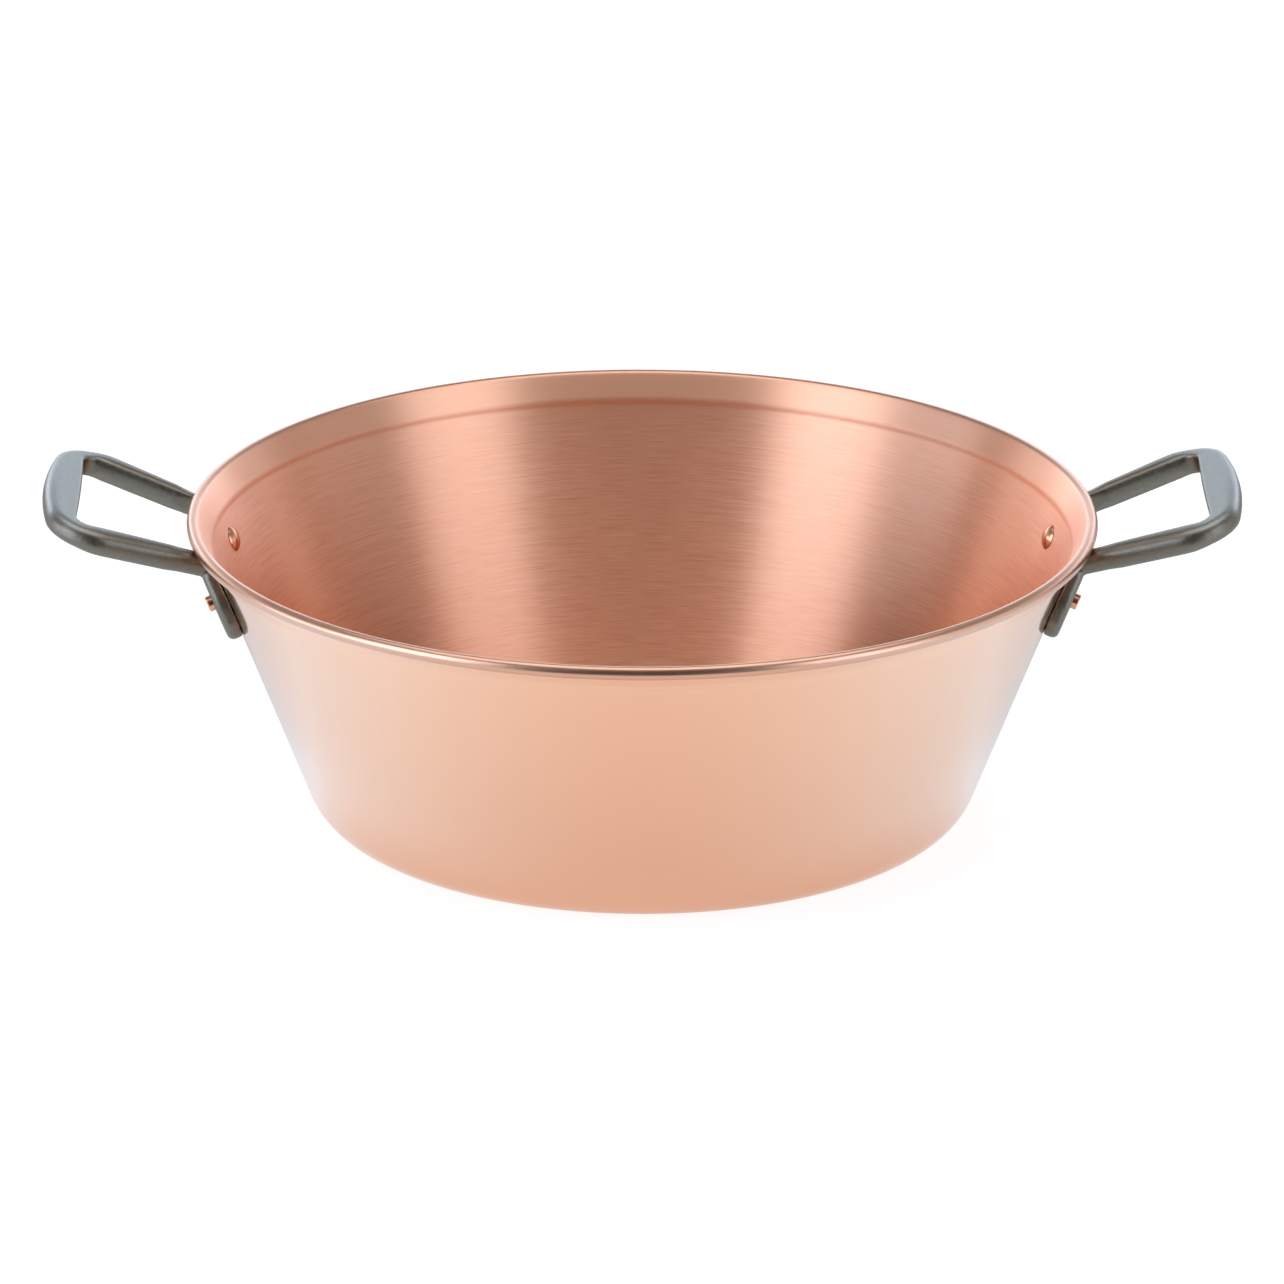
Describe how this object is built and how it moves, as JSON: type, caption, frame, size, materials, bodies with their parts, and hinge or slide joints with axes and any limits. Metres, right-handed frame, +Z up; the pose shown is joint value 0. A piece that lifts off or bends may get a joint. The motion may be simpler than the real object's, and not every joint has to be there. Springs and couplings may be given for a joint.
{
  "type": "jam pan",
  "caption": "Wide flared copper preserving pan with a wire-stiffened rolled rim and riveted cast-iron loop handles.",
  "frame": {"origin": "centre of the flat base, on the surface that the pan stands on", "axes": "+Z up out of the open bowl, +X through the middle of the right handle, +Y to the back as seen in the picture"},
  "size_m": [0.4996, 0.38, 0.1456],
  "materials": {
    "copper_sheet": "satin spun copper",
    "copper_rivet": "polished copper",
    "cast_iron": "as-cast grey iron",
    "rim_wire": "bright drawn wire"
  },
  "bodies": {
    "root": {"pan_body": "copper_sheet", "rim_wire": "rim_wire", "handle_left": "cast_iron", "handle_right": "cast_iron", "rivet_left_front": "copper_rivet", "rivet_left_back": "copper_rivet", "rivet_right_front": "copper_rivet", "rivet_right_back": "copper_rivet"}
  },
  "joints": []
}
